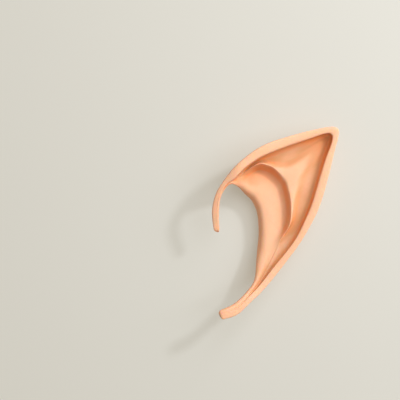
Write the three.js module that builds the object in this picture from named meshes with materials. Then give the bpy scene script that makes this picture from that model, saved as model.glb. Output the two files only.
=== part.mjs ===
// A left elf ear tip: one hollow shell of soft cast latex that slips over the top of a real ear.
// It lies on its back, face up. +X runs from the face towards the back of the head, +Y up the ear, and
// +Z out of the surface that it lies on. The origin is the bottom centre of its box. Millimetres.
//
// The shell is a loft. Each of its ribs runs from the lip, which frames the wearer's concha, out to the
// rim. A rib's section is a U on its side: the carved front wall, the rolled rim, the back wall, and the
// pocket between them that takes the wearer's ear, open towards the lip. Towards both ends the U closes into
// a solid strand: the hook over the front of the ear, and the tail below it.

import * as THREE from "three";

// Driving sizes

const EAR_WIDTH = 59.5; // across the rim line, from the front of the hook to the point
const EAR_HEIGHT = 89.5; // along the rim line, from the underside of the tail to the point
const EAR_DEPTH = 23; // from the surface to the highest stretch of the rim

const LATEX = 1.4; // thickness of the front and back walls
const RIM_WIDTH = 4.7; // the rolled rim at its widest, seen from the front
const RIM_RISE = 1.5; // how far its crown stands over its own edges, where it is widest
const RIM_SQUARENESS = 3.6; // 2 is a round roll, and more is flatter on top

const WALL_RUN = 5.6; // width of the slope between the rim and the floor inside it
const RIDGE_HEIGHT = 3.6; // the long fold inside the ear, over the floor beside the lip
const RIDGE_RUN = 5.2; // width of the fold's steep side, towards the lip
const RIDGE_STEEPNESS = 2.2; // 1 is a plain slope, and more is steeper at the crest
const CREST_NEAREST = 0.34; // the crest stays past this share of the way from the lip's roll to the wall
const CREST_FARTHEST = 0.9; // and short of this share
const SHELF_FLATNESS = 1.2; // 1 falls evenly from the crest to the wall, and more stays level for longer
const CONCHA_DIP = 1.1; // how far the floor sinks on its way from the lip to the fold
const LIP_ROLL = 3.8; // how far in the lip starts to curl down
const TURN_RUN = 9; // width of the back's turn between the rim and the sole
const MOUTH_DEPTH = 13; // how far the back wall's free edge lies behind the lip

const STRAND_RIM_SHARE = 0.7; // the most of a strand's width that its rim takes up
const HOOK_END = 1.7; // length of the hook's rounded end
const TAIL_END = 1.3; // length of the tail's blunter end
const POCKET_END_GAP = 1.2; // the pocket ends where its walls come this close
const EDGE_BULGE = 0.35; // how far the rounded edges of the lip and the back wall bulge
const LIP_LINING_START = 3.9; // how far in the lining starts to curl down along the lip
const LINING_RIDGE_SHARE = 0.5; // how much of the fold shows in the lining

// The ribs, from the end of the hook over the point to the end of the tail: where each one meets the rim's
// outer edge and the lip. x is a share of EAR_WIDTH, and y of EAR_HEIGHT.

const RIBS = [
  { rimX: 0.012, rimY: 0.468, lipX: 0.061, lipY: 0.468 }, // end of the hook
  { rimX: 0.0, rimY: 0.556, lipX: 0.055, lipY: 0.556 },
  { rimX: 0.031, rimY: 0.652, lipX: 0.07, lipY: 0.636 },
  { rimX: 0.105, rimY: 0.732, lipX: 0.145, lipY: 0.701 }, // root of the hook
  { rimX: 0.219, rimY: 0.818, lipX: 0.207, lipY: 0.686 },
  { rimX: 0.391, rimY: 0.9, lipX: 0.266, lipY: 0.647 },
  { rimX: 0.609, rimY: 0.951, lipX: 0.315, lipY: 0.618 },
  { rimX: 0.82, rimY: 0.987, lipX: 0.341, lipY: 0.586 },
  { rimX: 0.969, rimY: 1.0, lipX: 0.355, lipY: 0.564 }, // point, upper corner
  { rimX: 1.0, rimY: 0.982, lipX: 0.361, lipY: 0.547 }, // point, outer corner
  { rimX: 0.969, rimY: 0.878, lipX: 0.368, lipY: 0.52 },
  { rimX: 0.922, rimY: 0.748, lipX: 0.372, lipY: 0.483 },
  { rimX: 0.844, rimY: 0.574, lipX: 0.373, lipY: 0.431 },
  { rimX: 0.711, rimY: 0.41, lipX: 0.364, lipY: 0.368 },
  { rimX: 0.555, rimY: 0.27, lipX: 0.351, lipY: 0.295 },
  { rimX: 0.406, rimY: 0.151, lipX: 0.332, lipY: 0.196 },
  { rimX: 0.301, rimY: 0.086, lipX: 0.258, lipY: 0.132 }, // root of the tail
  { rimX: 0.195, rimY: 0.023, lipX: 0.164, lipY: 0.078 },
  { rimX: 0.09, rimY: 0.0, lipX: 0.066, lipY: 0.049 }, // end of the tail
];

// The heights at each rib, as shares of EAR_DEPTH: the rim's crown, the lip's edge, the floor beside the
// lip, the hollow at the foot of the wall, and the sole, which is the underside of the back wall.

const LEVELS = [
  { rim: 0.76, lip: 0.69, floor: 0.755, hollow: 0.76, sole: 0.62 }, // end of the hook
  { rim: 0.83, lip: 0.76, floor: 0.825, hollow: 0.83, sole: 0.69 },
  { rim: 0.9, lip: 0.82, floor: 0.89, hollow: 0.895, sole: 0.74 },
  { rim: 0.96, lip: 0.83, floor: 0.9, hollow: 0.9, sole: 0.68 }, // root of the hook
  { rim: 1.0, lip: 0.55, floor: 0.67, hollow: 0.7, sole: 0.34 },
  { rim: 0.97, lip: 0.29, floor: 0.5, hollow: 0.67, sole: 0.07 },
  { rim: 0.86, lip: 0.2, floor: 0.43, hollow: 0.57, sole: 0 },
  { rim: 0.75, lip: 0.175, floor: 0.405, hollow: 0.5, sole: 0 },
  { rim: 0.68, lip: 0.165, floor: 0.395, hollow: 0.47, sole: 0 }, // point, upper corner
  { rim: 0.67, lip: 0.165, floor: 0.39, hollow: 0.46, sole: 0 }, // point, outer corner
  { rim: 0.65, lip: 0.165, floor: 0.385, hollow: 0.45, sole: 0 },
  { rim: 0.645, lip: 0.17, floor: 0.385, hollow: 0.45, sole: 0 },
  { rim: 0.65, lip: 0.18, floor: 0.39, hollow: 0.47, sole: 0 },
  { rim: 0.665, lip: 0.23, floor: 0.43, hollow: 0.47, sole: 0 },
  { rim: 0.7, lip: 0.39, floor: 0.52, hollow: 0.53, sole: 0.08 },
  { rim: 0.78, lip: 0.575, floor: 0.67, hollow: 0.68, sole: 0.34 },
  { rim: 0.875, lip: 0.765, floor: 0.84, hollow: 0.845, sole: 0.62 }, // root of the tail
  { rim: 0.94, lip: 0.86, floor: 0.925, hollow: 0.93, sole: 0.77 },
  { rim: 0.97, lip: 0.89, floor: 0.965, hollow: 0.97, sole: 0.83 }, // end of the tail
];

// The front's carving at each rib. rim, wall and ridge are shares of RIM_WIDTH, WALL_RUN and RIDGE_HEIGHT.
// crest is where the ridge runs, as a share of the way from lip to rim. crease is how deep the rim's inner
// edge lies under its crown, as a share of the rim's rise.

const FRONT = [
  { rim: 0.65, wall: 0.2, ridge: 0, crest: 0.1, crease: 0 }, // end of the hook
  { rim: 0.7, wall: 0.2, ridge: 0, crest: 0.1, crease: 0 },
  { rim: 0.72, wall: 0.2, ridge: 0, crest: 0.1, crease: 0.05 },
  { rim: 0.8, wall: 0.25, ridge: 0, crest: 0.2, crease: 0.5 }, // root of the hook
  { rim: 0.82, wall: 0.25, ridge: 0, crest: 0.8, crease: 1 },
  { rim: 1, wall: 0.2, ridge: 1.6, crest: 0.645, crease: 1 },
  { rim: 0.97, wall: 0.85, ridge: 1.3, crest: 0.522, crease: 1 },
  { rim: 0.84, wall: 1.3, ridge: 1.1, crest: 0.413, crease: 1 },
  { rim: 0.66, wall: 0.85, ridge: 1, crest: 0.36, crease: 1 }, // point, upper corner
  { rim: 0.66, wall: 0.85, ridge: 1, crest: 0.357, crease: 1 }, // point, outer corner
  { rim: 0.8, wall: 1.05, ridge: 1, crest: 0.398, crease: 1 },
  { rim: 0.87, wall: 1, ridge: 1, crest: 0.457, crease: 1 },
  { rim: 0.86, wall: 0.75, ridge: 1, crest: 0.525, crease: 1 },
  { rim: 0.6, wall: 1, ridge: 0.2, crest: 0.59, crease: 0.5 },
  { rim: 0.66, wall: 0.9, ridge: 0, crest: 0.5, crease: 0.2 },
  { rim: 0.6, wall: 0.5, ridge: 0, crest: 0.5, crease: 0.2 },
  { rim: 0.56, wall: 0.3, ridge: 0, crest: 0.4, crease: 0.5 }, // root of the tail
  { rim: 0.54, wall: 0.3, ridge: 0, crest: 0.4, crease: 0.15 },
  { rim: 0.54, wall: 0.3, ridge: 0, crest: 0.4, crease: 0 }, // end of the tail
];

// The back at each rib. mouth and turn are shares of MOUTH_DEPTH and TURN_RUN. bulge is how round the turn
// is: 2 is an ellipse, and 1 is straight. open is 1 where the section is a U, and 0 where it is a strand.

const BACK = [
  { mouth: 0.06, turn: 0.5, bulge: 2, open: 0 }, // end of the hook
  { mouth: 0.06, turn: 0.5, bulge: 2, open: 0 },
  { mouth: 0.06, turn: 0.5, bulge: 2, open: 0 },
  { mouth: 0.08, turn: 0.5, bulge: 2, open: 0 }, // root of the hook
  { mouth: 0.3, turn: 0.6, bulge: 2, open: 0.6 },
  { mouth: 0.68, turn: 0.85, bulge: 2, open: 1 },
  { mouth: 0.92, turn: 0.95, bulge: 1.9, open: 1 },
  { mouth: 1, turn: 1, bulge: 1.7, open: 1 },
  { mouth: 1, turn: 1.3, bulge: 1.5, open: 1 }, // point, upper corner
  { mouth: 1, turn: 1.3, bulge: 1.5, open: 1 }, // point, outer corner
  { mouth: 1, turn: 1.1, bulge: 1.6, open: 1 },
  { mouth: 1, turn: 1, bulge: 1.8, open: 1 },
  { mouth: 0.88, turn: 0.95, bulge: 2, open: 1 },
  { mouth: 0.62, turn: 0.85, bulge: 2, open: 1 },
  { mouth: 0.3, turn: 0.7, bulge: 2, open: 0.85 },
  { mouth: 0.14, turn: 0.5, bulge: 2, open: 0.1 },
  { mouth: 0.08, turn: 0.5, bulge: 2, open: 0 }, // root of the tail
  { mouth: 0.08, turn: 0.5, bulge: 2, open: 0 },
  { mouth: 0.08, turn: 0.5, bulge: 2, open: 0 }, // end of the tail
];

// How finely the loft is divided

const STATIONS_PER_RIB = 4;
const END_STATIONS = 3;
const LIP_POINTS = 4;
const CONCHA_POINTS = 8;
const SCAPHA_POINTS = 8;
const WALL_POINTS = 6;
const RIM_POINTS = 8;
const TURN_POINTS = 7;
const SOLE_POINTS = 4;
const LINING_SOLE_POINTS = 4;
const LINING_TURN_POINTS = 5;
const LINING_WALL_POINTS = 5;
const LINING_FLOOR_POINTS = 9;
const CREST_CROWDING = 1.3; // 1 spaces the points beside the crest evenly, and more crowds them to it
const POCKET_END_TRIES = 60;

const QUARTER = Math.PI / 2;
const LAST_RIB = RIBS.length - 1;
const STATIONS = LAST_RIB * STATIONS_PER_RIB + 1;

const mix = THREE.MathUtils.lerp;
const clamp = THREE.MathUtils.clamp;
const smoothstep = THREE.MathUtils.smoothstep;

function steps(count, make) {
  return Array.from({ length: count }, (_, index) => make(index / count));
}

// Smooth lines through the ribs' ends

function lineThrough(xColumn, yColumn) {
  const points = RIBS.map((rib) => {
    return new THREE.Vector3(rib[xColumn] * EAR_WIDTH, rib[yColumn] * EAR_HEIGHT, 0);
  });
  return new THREE.CatmullRomCurve3(points, false, "centripetal");
}

const rimLine = lineThrough("rimX", "rimY");
const lipLine = lineThrough("lipX", "lipY");

// How much longer a width across the rim measures along a slanting rib

const SLANTS = RIBS.map((rib, row) => {
  const rim = rimLine.points[row];
  const before = rimLine.points[Math.max(row - 1, 0)];
  const after = rimLine.points[Math.min(row + 1, LAST_RIB)];
  const along = after.clone().sub(before).normalize();
  const across = rim.clone().sub(lipLine.points[row]).normalize();
  return { slant: 1 / along.cross(across).length() };
});

// Reads a table's column between its rows, without swinging past them

function slopeAt(rows, column, row) {
  if (row === 0 || row === rows.length - 1) {
    return 0;
  }
  const before = rows[row][column] - rows[row - 1][column];
  const after = rows[row + 1][column] - rows[row][column];
  return before * after > 0 ? (2 * before * after) / (before + after) : 0;
}

function read(rows, column, place) {
  const row = Math.min(Math.floor(place), rows.length - 2);
  const share = place - row;
  const eased = smoothstep(share, 0, 1);
  const leaving = slopeAt(rows, column, row) * share * (1 - share) ** 2;
  const arriving = slopeAt(rows, column, row + 1) * share ** 2 * (1 - share);
  return mix(rows[row][column], rows[row + 1][column], eased) + leaving - arriving;
}

// The sizes of the section at a place along the ribs. Widths across it run from the lip to the rim.

function sectionSizes(place) {
  const width = rimLine.getPoint(place / LAST_RIB).distanceTo(lipLine.getPoint(place / LAST_RIB));
  const slant = read(SLANTS, "slant", place);
  const level = (column) => read(LEVELS, column, place) * EAR_DEPTH;
  const front = (column) => read(FRONT, column, place);
  const back = (column) => read(BACK, column, place);
  const rimWidth = Math.min(RIM_WIDTH * front("rim") * slant, width * STRAND_RIM_SHARE);
  const rimStart = width - rimWidth;
  const lipRoll = Math.min(LIP_ROLL, rimStart / 2);
  const wallRun = Math.min(WALL_RUN * front("wall") * slant, (rimStart - lipRoll) / 2);
  const wallFoot = rimStart - wallRun;
  const nearest = mix(lipRoll, wallFoot, CREST_NEAREST);
  const farthest = mix(lipRoll, wallFoot, CREST_FARTHEST);
  const rimRise = RIM_RISE * front("rim");
  return {
    width,
    slant,
    lipRoll,
    lipInside: Math.min(LIP_LINING_START, wallFoot / 2),
    lipEdge: Math.min(LATEX, lipRoll / 2),
    crest: clamp(width * front("crest"), nearest, farthest),
    wallFoot,
    wallRun,
    rimStart,
    rimCrown: level("rim"),
    rimCrease: level("rim") - rimRise * front("crease"),
    rimEdge: level("rim") - rimRise,
    lip: level("lip"),
    floor: level("floor"),
    hollow: level("hollow"),
    sole: level("sole"),
    ridge: RIDGE_HEIGHT * front("ridge"),
    dip: CONCHA_DIP * front("ridge"),
    backEdge: MOUTH_DEPTH * back("mouth"),
    turnRun: Math.min(TURN_RUN * back("turn") * slant, width / 2),
    bulge: back("bulge"),
    open: back("open"),
  };
}

// Height of the front wall's face, up to the foot of the wall under the rim

function frontHeight(size, across, ridgeShare) {
  const crown = size.floor + size.ridge * ridgeShare;
  if (across > size.crest) {
    return mix(crown, size.hollow, smoothstep(across, size.crest, size.wallFoot) ** SHELF_FLATNESS);
  }
  const sunk = size.floor - size.dip * smoothstep(across, size.lipRoll, size.crest);
  const steepness = mix(1, RIDGE_STEEPNESS, ridgeShare);
  const step = clamp(1 - (size.crest - across) / RIDGE_RUN, 0, 1) ** steepness;
  const curl = 1 - Math.sqrt(1 - (1 - clamp(across / size.lipRoll, 0, 1)) ** 2);
  return mix(mix(sunk, crown, step), size.lip, curl);
}

function frontPoint(size, across, ridgeShare) {
  return new THREE.Vector2(across, frontHeight(size, across, ridgeShare));
}

// A point of the wall between the floor and the rim, at an angle from lying to standing

function wallPoint(size, angle, ridgeShare) {
  const across = size.wallFoot + size.wallRun * Math.sin(angle);
  const foot = frontHeight(size, across, ridgeShare);
  return new THREE.Vector2(across, mix(foot, size.rimCrease, 1 - Math.cos(angle)));
}

// A point of the rim's roll, at an angle from its inner edge over the crown to its outer edge

function rimPoint(size, angle) {
  const half = (size.width - size.rimStart) / 2;
  const sideways = Math.sign(Math.cos(angle)) * Math.abs(Math.cos(angle)) ** (2 / RIM_SQUARENESS);
  const up = Math.sin(angle) ** (2 / RIM_SQUARENESS);
  const edge = angle < QUARTER ? size.rimCrease : size.rimEdge;
  return new THREE.Vector2(size.rimStart + half * (1 - sideways), mix(edge, size.rimCrown, up));
}

// A point of the back's turn, at an angle from standing under the rim to lying on the sole

function turnPoint(size, angle) {
  const inward = 1 - Math.cos(angle) ** (2 / size.bulge);
  const down = Math.sin(angle) ** (2 / size.bulge);
  return new THREE.Vector2(size.width - size.turnRun * inward, mix(size.rimEdge, size.sole, down));
}

function turnAngleAt(size, height) {
  const down = clamp((size.rimEdge - height) / (size.rimEdge - size.sole), 0, 1);
  return Math.asin(down ** (size.bulge / 2));
}

function solePoint(size, share) {
  return new THREE.Vector2(mix(size.width - size.turnRun, size.backEdge, share), size.sole);
}

// The outside of the section, from the lip over the rim to the back wall's free edge

function outsidePoints(size) {
  const lip = steps(LIP_POINTS, (share) => {
    return frontPoint(size, size.lipRoll * (1 - Math.cos(QUARTER * share)), 1);
  });
  const concha = steps(CONCHA_POINTS, (share) => {
    return frontPoint(size, mix(size.crest, size.lipRoll, (1 - share) ** CREST_CROWDING), 1);
  });
  const scapha = steps(SCAPHA_POINTS, (share) => {
    return frontPoint(size, mix(size.crest, size.wallFoot, share ** CREST_CROWDING), 1);
  });
  const wall = steps(WALL_POINTS, (share) => wallPoint(size, QUARTER * share, 1));
  const rim = steps(RIM_POINTS, (share) => rimPoint(size, Math.PI * share));
  const turn = steps(TURN_POINTS, (share) => turnPoint(size, QUARTER * share));
  const sole = steps(SOLE_POINTS, (share) => solePoint(size, share));
  return [...lip, ...concha, ...scapha, ...wall, ...rim, ...turn, ...sole, solePoint(size, 1)];
}

// The angle on the wall where the pocket ends, for want of room between the wall and the back's turn

function pocketEndAngle(size) {
  const needed = (2 * LATEX + POCKET_END_GAP) * size.slant;
  for (let index = POCKET_END_TRIES; index > 0; index -= 1) {
    const angle = (QUARTER * index) / POCKET_END_TRIES;
    const wall = wallPoint(size, angle, 0);
    const turn = turnPoint(size, turnAngleAt(size, wall.y));
    if (turn.x - wall.x >= needed) {
      return angle;
    }
  }
  return 0;
}

// The two stretches of the outside that the pocket follows: the back wall, from its free edge to the
// pocket's end, and the front wall, from there to the lip

function linedBack(size) {
  const end = turnAngleAt(size, wallPoint(size, pocketEndAngle(size), 0).y);
  const sole = steps(LINING_SOLE_POINTS, (share) => solePoint(size, 1 - share));
  const turn = steps(LINING_TURN_POINTS, (share) => turnPoint(size, mix(QUARTER, end, share)));
  return [...sole, ...turn, turnPoint(size, end)];
}

function linedFront(size) {
  const end = pocketEndAngle(size);
  const wall = steps(LINING_WALL_POINTS, (share) => {
    return wallPoint(size, mix(end, 0, share), LINING_RIDGE_SHARE);
  });
  const floor = steps(LINING_FLOOR_POINTS, (share) => {
    return frontPoint(size, mix(size.wallFoot, size.lipInside, share), LINING_RIDGE_SHARE);
  });
  return [...wall, ...floor];
}

// Stands a section's points up on their rib

function standUp(points, place) {
  const lip = lipLine.getPoint(place / LAST_RIB);
  const across = rimLine.getPoint(place / LAST_RIB).sub(lip).normalize();
  return points.map((point) => lip.clone().addScaledVector(across, point.x).setZ(point.y));
}

// A sheet of points, a row per station, moved inwards by the thickness of the latex

function lineSheet(sheet) {
  return sheet.map((row, station) => {
    const before = sheet[Math.max(station - 1, 0)];
    const after = sheet[Math.min(station + 1, sheet.length - 1)];
    return row.map((point, index) => {
      const along = after[index].clone().sub(before[index]);
      const next = row[Math.min(index + 1, row.length - 1)];
      const across = next.clone().sub(row[Math.max(index - 1, 0)]);
      return point.clone().addScaledVector(along.cross(across).normalize(), LATEX);
    });
  });
}

// The closed loops of points around the sections, a loop per station

function bodyLoops() {
  const places = Array.from({ length: STATIONS }, (_, index) => index / STATIONS_PER_RIB);
  const sizes = places.map(sectionSizes);
  const backs = lineSheet(sizes.map((size, station) => standUp(linedBack(size), places[station])));
  const fronts = lineSheet(sizes.map((size, station) => standUp(linedFront(size), places[station])));
  return sizes.map((size, station) => {
    const outside = standUp(outsidePoints(size), places[station]);
    const backEdge = new THREE.Vector2(size.backEdge - EDGE_BULGE, size.sole + LATEX / 2);
    const lipInside = new THREE.Vector2(size.lipEdge, size.lip);
    const lipEdge = new THREE.Vector2(size.lipEdge / 2, size.lip - EDGE_BULGE);
    const lining = [
      ...standUp([backEdge], places[station]),
      ...backs[station],
      ...fronts[station],
      ...standUp([lipInside, lipEdge], places[station]),
    ];
    const solid = lining.map((_, index) => {
      const angle = (QUARTER * (index + 1)) / (lining.length + 1);
      const across = size.backEdge * (1 - Math.sin(angle));
      return new THREE.Vector2(across, mix(size.sole, size.lip, 1 - Math.cos(angle)));
    });
    const strand = standUp(solid, places[station]);
    return [...outside, ...strand.map((point, index) => point.lerp(lining[index], size.open))];
  });
}

// The rounded end of a strand: ever smaller loops beyond its last one, and a tip

function centreOf(loop) {
  const sum = loop.reduce((total, point) => total.add(point), new THREE.Vector3());
  return sum.divideScalar(loop.length);
}

function strandEnd(loop, neighbour, length) {
  const centre = centreOf(loop);
  const outward = centre.clone().sub(centreOf(neighbour)).normalize();
  const loops = steps(END_STATIONS, (share) => {
    const angle = QUARTER * mix(1 / (END_STATIONS + 1), 1, share);
    return loop.map((point) => {
      const smaller = centre.clone().lerp(point, Math.cos(angle));
      return smaller.addScaledVector(outward, length * Math.sin(angle));
    });
  });
  return { loops, tip: centre.addScaledVector(outward, length) };
}

function loftGeometry() {
  const body = bodyLoops();
  const hook = strandEnd(body[0], body[1], HOOK_END);
  const tail = strandEnd(body[STATIONS - 1], body[STATIONS - 2], TAIL_END);
  const loops = [...hook.loops.reverse(), ...body, ...tail.loops];
  const around = body[0].length;
  const vertices = [...loops.flat(), hook.tip, tail.tip];
  const hookTip = vertices.length - 2;
  const tailTip = vertices.length - 1;
  const lastRow = (loops.length - 1) * around;
  const triangles = [];
  for (let next = 0; next < around; next += 1) {
    const here = (next + around - 1) % around;
    for (let row = 0; row < loops.length - 1; row += 1) {
      const start = row * around;
      const end = start + around;
      triangles.push(start + here, end + here, end + next);
      triangles.push(start + here, end + next, start + next);
    }
    triangles.push(hookTip, here, next);
    triangles.push(tailTip, lastRow + next, lastRow + here);
  }
  const geometry = new THREE.BufferGeometry().setFromPoints(vertices);
  geometry.setIndex(triangles);
  return geometry;
}

// The part, with its origin at the bottom centre of its box

const shellGeometry = loftGeometry();
shellGeometry.computeBoundingBox();
const box = shellGeometry.boundingBox;
shellGeometry.translate(-(box.min.x + box.max.x) / 2, -(box.min.y + box.max.y) / 2, -box.min.z);
shellGeometry.computeVertexNormals();

const latex = new THREE.MeshStandardMaterial({ color: 0xe0a27c, roughness: 0.6, metalness: 0 });
const shell = new THREE.Mesh(shellGeometry, latex);
shell.name = "ear_shell";

const part = new THREE.Group();
part.name = "elf_ear_tip";
part.add(shell);

export default part;
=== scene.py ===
"""The looks of a latex elf ear tip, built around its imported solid. Metres, in the solid's own frame."""

import math

import bmesh
import bpy
import numpy as np
from bpy.props import FloatProperty, FloatVectorProperty, IntProperty, PointerProperty
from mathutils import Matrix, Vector, noise
from mathutils.bvhtree import BVHTree


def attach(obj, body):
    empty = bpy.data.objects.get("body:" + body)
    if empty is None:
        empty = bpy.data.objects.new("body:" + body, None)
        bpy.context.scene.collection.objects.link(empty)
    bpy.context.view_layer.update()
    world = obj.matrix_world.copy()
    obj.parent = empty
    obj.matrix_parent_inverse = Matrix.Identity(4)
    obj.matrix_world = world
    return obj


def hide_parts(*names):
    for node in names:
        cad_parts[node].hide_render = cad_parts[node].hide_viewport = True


bl_info = {
    "name": "Elf Ear Tip",
    "version": (1, 0, 0),
    "blender": (4, 5, 0),
    "location": "View3D > Sidebar > Elf Ear",
    "description": "Builds the looks of a cast latex elf ear tip, and the stage that it is shown on",
    "category": "Object",
}

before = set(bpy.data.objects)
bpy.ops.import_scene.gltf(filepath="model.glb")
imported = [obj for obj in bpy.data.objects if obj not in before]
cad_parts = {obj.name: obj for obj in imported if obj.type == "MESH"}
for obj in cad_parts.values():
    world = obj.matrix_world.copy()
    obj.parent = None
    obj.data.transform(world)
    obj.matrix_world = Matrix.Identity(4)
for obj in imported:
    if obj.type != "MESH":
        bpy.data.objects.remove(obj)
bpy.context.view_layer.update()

MM = 0.001
SHELL_NODE = "ear_shell"

FOLD_BEND = 220.0  # bend of the mesh, per metre, that counts as a full fold
CROWN_BEND = 320.0  # bend of the mesh, per metre, that counts as a full crown
# Colour multiplied in as painted shade in the tightest folds.
PINCHED_SHADE = (0.6, 0.72, 0.8, 1.0)
# Colour multiplied in as painted shade in the level hollow beside the rim, between the two heights below.
HOLLOW_SHADE = (0.75, 0.72, 0.58, 1.0)
HOLLOW_FROM = 8.5 * MM  # the hollow beside the rim is shaded from this height
HOLLOW_FULL = 11.5 * MM  # and in full from this one

LIGHT_TURN = math.radians(36.0)
LIGHT_DISTANCE = 0.7
LAMP_COLOUR = (0.96, 0.98, 1.0)
ROOM_COLOUR = (1.0, 0.9, 0.79, 1.0)
CAMERA_X = -0.0353
CAMERA_Y = 0.0105
SENSOR_WIDTH = 36.0
RIM_LEVEL = 0.018  # height over the surface at which the view's width is given


# Settings


class ElfEarShellSettings(bpy.types.PropertyGroup):
    """How the latex shell looks."""

    smoothing: IntProperty(
        name="Smoothing",
        description="How many times the solid's facets are divided",
        default=2,
        min=0,
        max=2,
    )
    hand_wave: FloatProperty(
        name="Hand Wave",
        description="How far the casting strays from its carved line over a centimetre",
        default=0.00012,
        min=0.0,
        max=0.0005,
        unit="LENGTH",
        subtype="DISTANCE",
    )
    wave_length: FloatProperty(
        name="Wave Length",
        description="Size of that straying",
        default=0.012,
        min=0.002,
        max=0.05,
        unit="LENGTH",
        subtype="DISTANCE",
    )
    shelter_reach: FloatProperty(
        name="Shelter Reach",
        description="How near other latex must be for a place to count as sheltered by it",
        default=0.014,
        min=0.001,
        max=0.05,
        unit="LENGTH",
        subtype="DISTANCE",
    )
    skin_colour: FloatVectorProperty(
        name="Skin Colour",
        description="Colour of the latex in plain light",
        default=(0.99, 0.56, 0.345),
        min=0.0,
        max=1.0,
        subtype="COLOR",
    )
    # The deep colour is partly the latex's own random mottling and mostly painted shade, laid in folds, on
    # steep walls and in the sheltered hollows under the rim.
    deep_colour: FloatVectorProperty(
        name="Deep Colour",
        description="Colour that gathers in folds and under the rim",
        default=(0.99, 0.35, 0.125),
        min=0.0,
        max=1.0,
        subtype="COLOR",
    )
    # The crown colour is a little deeper than the skin, not paler: painted shade that tones down the
    # powdered crowns and edges where they catch the most light.
    crown_shade_colour: FloatVectorProperty(
        name="Worn Colour",
        description="Paler colour of the powdered crowns and edges",
        default=(0.99, 0.52, 0.34),
        min=0.0,
        max=1.0,
        subtype="COLOR",
    )
    roughness: FloatProperty(
        name="Roughness",
        description="How matt the latex is",
        default=0.52,
        min=0.0,
        max=1.0,
    )


class ElfEarStageSettings(bpy.types.PropertyGroup):
    """The floor, the light and the camera."""

    floor_colour: FloatVectorProperty(
        name="Floor Colour",
        description="Colour of the surface that the tip lies on",
        default=(0.38, 0.38, 0.37),
        min=0.0,
        max=1.0,
        subtype="COLOR",
    )
    floor_glow: FloatVectorProperty(
        name="Floor Glow",
        description="Light that comes up through the surface, as on a light table",
        default=(0.325, 0.305, 0.245),
        min=0.0,
        max=1.0,
        subtype="COLOR",
    )
    floor_size: FloatProperty(
        name="Floor Size",
        description="Width of the surface",
        default=6.0,
        min=0.5,
        unit="LENGTH",
        subtype="DISTANCE",
    )
    key_power: FloatProperty(
        name="Key Light",
        description="Power of the small light from the upper right, in watts",
        default=1.9,
        min=0.0,
    )
    key_width: FloatProperty(
        name="Key Width",
        description="Width of the small light, which sets how sharp the shadows are",
        default=0.08,
        min=0.01,
        unit="LENGTH",
        subtype="DISTANCE",
    )
    key_height: FloatProperty(
        name="Key Height",
        description="Height of the small light over the horizon",
        default=math.radians(39.0),
        unit="ROTATION",
        subtype="ANGLE",
    )
    box_power: FloatProperty(
        name="Soft Box",
        description="Power of the large light from the upper right, in watts",
        default=4.6,
        min=0.0,
    )
    box_width: FloatProperty(
        name="Soft Box Width",
        description="Width of the large light",
        default=0.75,
        min=0.1,
        unit="LENGTH",
        subtype="DISTANCE",
    )
    box_height: FloatProperty(
        name="Soft Box Height",
        description="Height of the large light over the horizon",
        default=math.radians(54.0),
        unit="ROTATION",
        subtype="ANGLE",
    )
    sky_strength: FloatProperty(
        name="Room Light",
        description="Strength of the even light from all round",
        default=0.27,
        min=0.0,
    )
    camera_height: FloatProperty(
        name="Camera Height",
        description="Height of the camera over the surface",
        default=0.62,
        min=0.2,
        unit="LENGTH",
        subtype="DISTANCE",
    )
    view_width: FloatProperty(
        name="View Width",
        description="Width that the picture spans at the height of the rim",
        default=0.186,
        min=0.05,
        unit="LENGTH",
        subtype="DISTANCE",
    )


# Node groups


def new_group(name, inputs, outputs):
    """A shader node group with named sockets. Each input is (name, type, default)."""
    group = bpy.data.node_groups.new(name, "ShaderNodeTree")
    for label, kind, default in inputs:
        socket = group.interface.new_socket(label, in_out="INPUT", socket_type=kind)
        if default is not None:
            socket.default_value = default
    for label, kind in outputs:
        group.interface.new_socket(label, in_out="OUTPUT", socket_type=kind)
    ends = group.nodes.new("NodeGroupInput"), group.nodes.new("NodeGroupOutput")
    return group, ends[0].outputs, ends[1].inputs


def add_node(tree, kind, values=None, **attributes):
    """A node with its attributes set, and values given for its sockets by name or number."""
    node = tree.nodes.new(kind)
    for key, value in attributes.items():
        setattr(node, key, value)
    for key, value in (values or {}).items():
        if isinstance(value, bpy.types.NodeSocket):
            tree.links.new(value, node.inputs[key])
        else:
            node.inputs[key].default_value = value
    return node


def noise_value(tree, position, scale, detail=3.0, roughness=0.5, distortion=0.0):
    """The value of a noise texture at a position."""
    values = {
        "Vector": position,
        "Scale": scale,
        "Detail": detail,
        "Roughness": roughness,
        "Distortion": distortion,
    }
    return add_node(tree, "ShaderNodeTexNoise", values).outputs["Fac"]


def remap(tree, value, low, high, to_low=0.0, to_high=1.0):
    """A value carried from one range to another, and kept within it."""
    values = {"Value": value, "From Min": low, "From Max": high, "To Min": to_low, "To Max": to_high}
    return add_node(tree, "ShaderNodeMapRange", values, interpolation_type="SMOOTHSTEP").outputs["Result"]


def blend(tree, share, first, second, mode="MIX"):
    """Two colours mixed by a share."""
    node = add_node(tree, "ShaderNodeMix", data_type="RGBA", blend_type=mode)
    for socket, value in ((node.inputs["Factor"], share), (node.inputs[6], first), (node.inputs[7], second)):
        if isinstance(value, bpy.types.NodeSocket):
            tree.links.new(value, socket)
        else:
            socket.default_value = value
    return node.outputs[2]


def maths(tree, operation, *values, clamp=False):
    """A number worked out from others."""
    numbered = dict(enumerate(values))
    return add_node(tree, "ShaderNodeMath", numbered, operation=operation, use_clamp=clamp).outputs[0]


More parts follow.
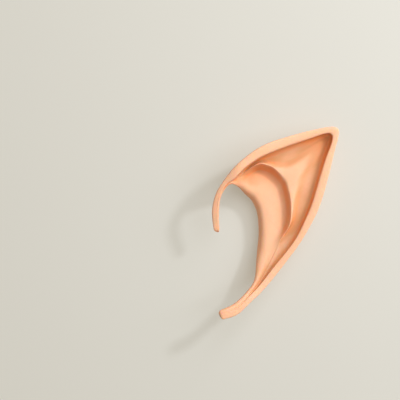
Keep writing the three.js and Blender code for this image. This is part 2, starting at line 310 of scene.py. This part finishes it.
def latex_relief_group():
    """Height of the skin of cast latex: drawn-out flow marks, grain and a few pores."""
    group, given, wanted = new_group(
        "Latex Relief",
        [("Position", "NodeSocketVector", None), ("Grain", "NodeSocketFloat", 1.0)],
        [("Height", "NodeSocketFloat"), ("Pores", "NodeSocketFloat")],
    )
    flow = noise_value(group, given["Position"], 140.0, 3.0, 0.55, 0.6)
    grain = noise_value(group, given["Position"], 1500.0, 4.0, 0.6)
    cells = add_node(
        group, "ShaderNodeTexVoronoi", {"Vector": given["Position"], "Scale": 420.0, "Randomness": 1.0}
    ).outputs["Distance"]
    patches = noise_value(group, given["Position"], 95.0, 2.0)
    rare = remap(group, patches, 0.56, 0.68)
    pore = maths(group, "MULTIPLY", remap(group, cells, 0.16, 0.05), rare)
    fine = maths(group, "MULTIPLY", maths(group, "MULTIPLY", grain, 0.12), given["Grain"])
    height = maths(group, "SUBTRACT", maths(group, "ADD", flow, fine), maths(group, "MULTIPLY", pore, 0.25))
    group.links.new(height, wanted["Height"])
    group.links.new(pore, wanted["Pores"])
    return group


def latex_tint_group():
    """Colour of the latex: mottled and freckled at random, with painted shade that deepens it in folds,
    hollows and on steep walls, darkens the tightest folds, the hollow beside the rim and the pores, and
    tones down the powdered crowns and edges.
    """
    group, given, wanted = new_group(
        "Latex Tint",
        [
            ("Position", "NodeSocketVector", None),
            ("Skin", "NodeSocketColor", (0.8, 0.5, 0.3, 1.0)),
            ("Deep", "NodeSocketColor", (0.6, 0.2, 0.1, 1.0)),
            ("Crown Shade", "NodeSocketColor", (0.9, 0.6, 0.4, 1.0)),
            ("Shelter", "NodeSocketFloat", 0.0),
            ("Steepness", "NodeSocketFloat", 0.0),
            ("Fold", "NodeSocketFloat", 0.0),
            ("Crown", "NodeSocketFloat", 0.0),
            ("Pores", "NodeSocketFloat", 0.0),
        ],
        [("Colour", "NodeSocketColor"), ("Powder", "NodeSocketFloat")],
    )
    clouds = remap(group, noise_value(group, given["Position"], 55.0, 4.0, 0.6, 0.4), 0.34, 0.7)
    freckles = remap(group, noise_value(group, given["Position"], 520.0, 3.0, 0.6), 0.5, 0.72)
    mottled = blend(group, maths(group, "MULTIPLY", clouds, 0.1), given["Skin"], given["Deep"])
    freckled = blend(group, maths(group, "MULTIPLY", freckles, 0.07), mottled, given["Deep"])
    # Painted shade: the deep colour laid on steep walls, more where they are sheltered, in sheltered hollows
    # and faintly in folds, and kept off the crowns.
    sheltered = remap(group, given["Shelter"], 0.0, 0.3)
    exposed = maths(group, "MULTIPLY_ADD", sheltered, 0.65, 0.35)
    walled = maths(group, "MULTIPLY", exposed, given["Steepness"])
    hollowed = maths(group, "MULTIPLY", remap(group, given["Shelter"], 0.05, 0.4), 0.7)
    tucked = maths(group, "MAXIMUM", walled, hollowed)
    shade_share = maths(group, "ADD", maths(group, "MULTIPLY", given["Fold"], 0.1), tucked)
    painted_shade_share = maths(group, "MULTIPLY", shade_share, maths(group, "SUBTRACT", 1.0, given["Crown"]), clamp=True)
    deep_shaded = blend(group, painted_shade_share, freckled, given["Deep"])
    # Painted shade: the tightest, most sheltered folds are darkened further.
    pinched = remap(group, given["Shelter"], 0.3, 0.6)
    pinch_shaded = blend(group, pinched, deep_shaded, PINCHED_SHADE, "MULTIPLY")
    # Painted shade in the level hollow beside the rim, above the concha floor, darker where the rim shelters
    # it and on level ground.
    height = add_node(group, "ShaderNodeSeparateXYZ", {"Vector": given["Position"]}).outputs["Z"]
    raised = remap(group, height, HOLLOW_FROM, HOLLOW_FULL)
    level = maths(group, "SUBTRACT", 1.0, given["Steepness"])
    beside = maths(group, "MULTIPLY", remap(group, given["Shelter"], 0.07, 0.2), raised)
    hollow = maths(group, "MULTIPLY", beside, level)
    hollow_shaded = blend(group, hollow, pinch_shaded, HOLLOW_SHADE, "MULTIPLY")
    patchy = remap(group, noise_value(group, given["Position"], 230.0, 4.0, 0.65), 0.35, 0.65, 0.35, 1.0)
    powder = maths(group, "MULTIPLY", given["Crown"], patchy)
    # The powdered crowns are toned towards the crown colour as painted shade; the powder itself also makes
    # them rougher.
    crown_shaded = blend(group, maths(group, "MULTIPLY", powder, 0.6), hollow_shaded, given["Crown Shade"])
    # Pores are darkened towards the deep colour, as painted shade in their pits.
    pored = blend(group, maths(group, "MULTIPLY", given["Pores"], 0.35), crown_shaded, given["Deep"])
    group.links.new(pored, wanted["Colour"])
    group.links.new(powder, wanted["Powder"])
    return group


# Materials


def new_material(name):
    """An empty node material with its Principled shader and its output."""
    material = bpy.data.materials.new(name)
    material.use_nodes = True
    tree = material.node_tree
    tree.nodes.clear()
    shader = tree.nodes.new("ShaderNodeBsdfPrincipled")
    output = tree.nodes.new("ShaderNodeOutputMaterial")
    tree.links.new(shader.outputs["BSDF"], output.inputs["Surface"])
    return material, tree, shader


def with_alpha(colour):
    """A colour property as a socket takes it."""
    return (*colour, 1.0)


def latex_material(settings):
    """Soft cast latex that lets some light through."""
    material, tree, shader = new_material("Cast Latex")
    place = add_node(tree, "ShaderNodeTexCoord").outputs
    position = place["Object"]
    upright = add_node(tree, "ShaderNodeSeparateXYZ", {"Vector": place["Normal"]}).outputs["Z"]
    steepness = remap(tree, upright, 0.92, 0.6)
    masks = [
        (name, add_node(tree, "ShaderNodeAttribute", attribute_name=name.lower()).outputs["Fac"])
        for name in ("Shelter", "Fold", "Crown")
    ]
    relief = add_node(tree, "ShaderNodeGroup", node_tree=latex_relief_group())
    tree.links.new(position, relief.inputs["Position"])
    tint = add_node(tree, "ShaderNodeGroup", node_tree=latex_tint_group())
    for label, value in [("Position", position), ("Steepness", steepness), *masks]:
        tree.links.new(value, tint.inputs[label])
    tree.links.new(relief.outputs["Pores"], tint.inputs["Pores"])
    tint.inputs["Skin"].default_value = with_alpha(settings.skin_colour)
    tint.inputs["Deep"].default_value = with_alpha(settings.deep_colour)
    tint.inputs["Crown Shade"].default_value = with_alpha(settings.crown_shade_colour)
    skin = {"Strength": 0.35, "Distance": 0.3 * MM, "Height": relief.outputs["Height"]}
    bump = add_node(tree, "ShaderNodeBump", skin)
    powdered = remap(tree, tint.outputs["Powder"], 0.0, 1.0, settings.roughness, settings.roughness + 0.12)
    tree.links.new(tint.outputs["Colour"], shader.inputs["Base Color"])
    tree.links.new(powdered, shader.inputs["Roughness"])
    tree.links.new(bump.outputs["Normal"], shader.inputs["Normal"])
    shader.inputs["IOR"].default_value = 1.45
    shader.inputs["Specular IOR Level"].default_value = 0.35
    shader.inputs["Subsurface Weight"].default_value = 0.4
    shader.inputs["Subsurface Radius"].default_value = (1.0, 0.35, 0.15)
    shader.inputs["Subsurface Scale"].default_value = 1.2 * MM
    return material


def floor_material(settings):
    """A plain matt board, faintly uneven, with a little light of its own."""
    material, tree, shader = new_material("Plain Board")
    position = add_node(tree, "ShaderNodeTexCoord").outputs["Object"]
    clouds = noise_value(tree, position, 9.0, 3.0, 0.5)
    grain = noise_value(tree, position, 900.0, 3.0, 0.6)
    floor = with_alpha(settings.floor_colour)
    darker = (*(channel * 0.94 for channel in settings.floor_colour), 1.0)
    colour = blend(tree, maths(tree, "MULTIPLY", clouds, 0.4), floor, darker)
    bump = add_node(tree, "ShaderNodeBump", {"Strength": 0.05, "Distance": 0.2 * MM, "Height": grain})
    tree.links.new(colour, shader.inputs["Base Color"])
    tree.links.new(bump.outputs["Normal"], shader.inputs["Normal"])
    shader.inputs["Roughness"].default_value = 0.75
    shader.inputs["Emission Color"].default_value = with_alpha(settings.floor_glow)
    shader.inputs["Emission Strength"].default_value = 1.0
    return material


# Shapes


def add_object(name, mesh):
    """A mesh object in the scene's own collection."""
    piece = bpy.data.objects.new(name, mesh)
    bpy.context.scene.collection.objects.link(piece)
    return piece


def quad_copy(source):
    """A copy of a solid's mesh, welded and with its triangles joined back into four-sided faces."""
    mesh = bpy.data.meshes.new("latex_shell")
    shape = bmesh.new()
    shape.from_mesh(source.data)
    bmesh.ops.remove_doubles(shape, verts=shape.verts, dist=1e-6)
    bmesh.ops.recalc_face_normals(shape, faces=shape.faces)
    bmesh.ops.join_triangles(
        shape,
        faces=shape.faces,
        angle_face_threshold=math.radians(50.0),
        angle_shape_threshold=math.radians(80.0),
    )
    shape.to_mesh(mesh)
    shape.free()
    return mesh


def divided(piece, levels):
    """The piece's mesh with its faces divided smoothly."""
    modifier = piece.modifiers.new("Smooth", "SUBSURF")
    modifier.levels = levels
    modifier.render_levels = levels
    depsgraph = bpy.context.evaluated_depsgraph_get()
    mesh = bpy.data.meshes.new_from_object(piece.evaluated_get(depsgraph))
    piece.modifiers.clear()
    old = piece.data
    piece.data = mesh
    bpy.data.meshes.remove(old)


def read_points(mesh):
    """The places, normals and edges of a mesh's points, as arrays."""
    places = np.empty(len(mesh.vertices) * 3)
    mesh.vertices.foreach_get("co", places)
    normals = np.empty(len(mesh.vertices) * 3)
    mesh.vertex_normals.foreach_get("vector", normals)
    edges = np.empty(len(mesh.edges) * 2, dtype=np.int32)
    mesh.edges.foreach_get("vertices", edges)
    return places.reshape(-1, 3), normals.reshape(-1, 3), edges.reshape(-1, 2)


def gather(edges, to_first, to_last, count):
    """For each point, the mean of what its edges bring to it."""
    sums = np.bincount(edges[:, 0], weights=to_first, minlength=count)
    sums += np.bincount(edges[:, 1], weights=to_last, minlength=count)
    return sums / np.maximum(np.bincount(edges.ravel(), minlength=count), 1)


def evened(values, edges, times):
    """Values on a mesh's points, mixed with their neighbours' a number of times."""
    for _ in range(times):
        around = gather(edges, values[edges[:, 1]], values[edges[:, 0]], len(values))
        values = (values + around) / 2
    return values


def write_mask(mesh, name, values):
    """Keeps a value for each point of a mesh, for its material to read."""
    mask = mesh.attributes.new(name, "FLOAT", "POINT")
    mask.data.foreach_set("value", np.clip(values, 0.0, 1.0).astype(np.float32))


def write_shelter(mesh, reach, looks=96):
    """Writes how much of its view each point loses to the mesh around it: from 0 in the open to 1."""
    places, normals, edges = read_points(mesh)
    faces = [face.vertices for face in mesh.polygons]
    tree = BVHTree.FromPolygons([vert.co for vert in mesh.vertices], faces)
    steps = np.arange(looks) + 0.5
    heights = 1 - 2 * steps / looks
    turns = steps * math.pi * (3 - math.sqrt(5))
    rings = np.sqrt(1 - heights**2)
    fan = np.stack([rings * np.cos(turns), rings * np.sin(turns), heights], axis=1)
    rays = [Vector(ray) for ray in fan]
    lost = np.zeros(len(places))
    for index, facing in enumerate(normals @ fan.T):
        start = Vector(places[index] + normals[index] * 0.05 * MM)
        seen = np.flatnonzero(facing > 0.05)
        hits = [facing[look] for look in seen if tree.ray_cast(start, rays[look], reach)[0] is not None]
        lost[index] = sum(hits) / facing[seen].sum()
    write_mask(mesh, "shelter", evened(lost, edges, 1))


def write_bends(mesh, fold_bend, crown_bend):
    """Writes how deep in a fold and how far out on a crown each point lies, from the bend of the mesh."""
    places, normals, edges = read_points(mesh)
    along = places[edges[:, 1]] - places[edges[:, 0]]
    squared = np.maximum((along**2).sum(axis=1), 1e-12)
    to_first = (along * normals[edges[:, 0]]).sum(axis=1) / squared
    to_last = -(along * normals[edges[:, 1]]).sum(axis=1) / squared
    bends = evened(gather(edges, to_first, to_last, len(places)), edges, 6)
    write_mask(mesh, "fold", bends / fold_bend)
    write_mask(mesh, "crown", -bends / crown_bend)


def stray(mesh, reach, length):
    """Moves each point a little in or out, as a casting strays from its carving."""
    normals = [vert.normal.copy() for vert in mesh.vertices]
    for vert, normal in zip(mesh.vertices, normals):
        vert.co += normal * noise.noise(vert.co / length) * reach


# Operators


class ELFEAR_OT_shell(bpy.types.Operator):
    """Build the latex shell over its solid"""

    bl_idname = "elfear.shell"
    bl_label = "Latex Shell"
    bl_options = {"REGISTER", "UNDO"}

    def execute(self, context):
        settings = context.scene.elf_ear_shell
        piece = add_object("latex_shell", quad_copy(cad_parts[SHELL_NODE]))
        write_shelter(piece.data, settings.shelter_reach)
        divided(piece, settings.smoothing)
        piece.data.polygons.foreach_set("use_smooth", [True] * len(piece.data.polygons))
        write_bends(piece.data, FOLD_BEND, CROWN_BEND)
        stray(piece.data, settings.hand_wave, settings.wave_length)
        piece.data.materials.clear()
        piece.data.materials.append(latex_material(settings))
        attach(piece, "root")
        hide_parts(SHELL_NODE)
        return {"FINISHED"}


def aim(height):
    """Where a light stands: to the upper right of the ear, at a height over the horizon."""
    across = math.cos(height)
    towards = Vector((math.cos(LIGHT_TURN) * across, math.sin(LIGHT_TURN) * across, math.sin(height)))
    return towards * LIGHT_DISTANCE


def add_light(name, power, width, place):
    """A square light that looks at the ear."""
    light = bpy.data.lights.new(name, "AREA")
    light.size = width
    light.energy = power
    light.color = LAMP_COLOUR
    lamp = bpy.data.objects.new(name, light)
    bpy.context.scene.collection.objects.link(lamp)
    lamp.location = place
    lamp.rotation_mode = "QUATERNION"
    lamp.rotation_quaternion = (-place).to_track_quat("-Z", "Y")


class ELFEAR_OT_stage(bpy.types.Operator):
    """Set the floor, the light and the camera"""

    bl_idname = "elfear.stage"
    bl_label = "Stage"
    bl_options = {"REGISTER", "UNDO"}

    def execute(self, context):
        settings = context.scene.elf_ear_stage
        half = settings.floor_size / 2
        mesh = bpy.data.meshes.new("floor")
        corners = [(-half, -half, 0), (half, -half, 0), (half, half, 0), (-half, half, 0)]
        mesh.from_pydata(corners, [], [(0, 1, 2, 3)])
        floor = add_object("floor", mesh)
        floor.data.materials.append(floor_material(settings))

        add_light("key", settings.key_power, settings.key_width, aim(settings.key_height))
        add_light("soft_box", settings.box_power, settings.box_width, aim(settings.box_height))

        world = bpy.data.worlds.new("room")
        world.use_nodes = True
        background = world.node_tree.nodes["Background"]
        background.inputs["Color"].default_value = ROOM_COLOUR
        background.inputs["Strength"].default_value = settings.sky_strength
        context.scene.world = world
        context.scene.view_settings.view_transform = "Standard"

        camera_data = bpy.data.cameras.new("camera")
        camera_data.sensor_width = SENSOR_WIDTH
        reach = settings.camera_height - RIM_LEVEL
        camera_data.lens = camera_data.sensor_width * reach / settings.view_width
        camera = bpy.data.objects.new("camera", camera_data)
        context.scene.collection.objects.link(camera)
        camera.location = (CAMERA_X, CAMERA_Y, settings.camera_height)
        context.scene.camera = camera
        return {"FINISHED"}


class ELFEAR_PT_panel(bpy.types.Panel):
    """Builds the elf ear tip, a piece at a time"""

    bl_idname = "ELFEAR_PT_panel"
    bl_label = "Elf Ear Tip"
    bl_space_type = "VIEW_3D"
    bl_region_type = "UI"
    bl_category = "Elf Ear"

    def draw(self, context):
        groups = (
            (ELFEAR_OT_shell, context.scene.elf_ear_shell),
            (ELFEAR_OT_stage, context.scene.elf_ear_stage),
        )
        for operator, settings in groups:
            box = self.layout.box()
            box.operator(operator.bl_idname)
            for label in settings.__annotations__:
                box.prop(settings, label)


CLASSES = (
    ElfEarShellSettings,
    ElfEarStageSettings,
    ELFEAR_OT_shell,
    ELFEAR_OT_stage,
    ELFEAR_PT_panel,
)


def register():
    for cls in CLASSES:
        bpy.utils.register_class(cls)
    bpy.types.Scene.elf_ear_shell = PointerProperty(type=ElfEarShellSettings)
    bpy.types.Scene.elf_ear_stage = PointerProperty(type=ElfEarStageSettings)


def unregister():
    del bpy.types.Scene.elf_ear_stage
    del bpy.types.Scene.elf_ear_shell
    for cls in reversed(CLASSES):
        bpy.utils.unregister_class(cls)


def main():
    register()
    bpy.ops.elfear.shell()
    bpy.ops.elfear.stage()


if __name__ == "__main__":
    main()
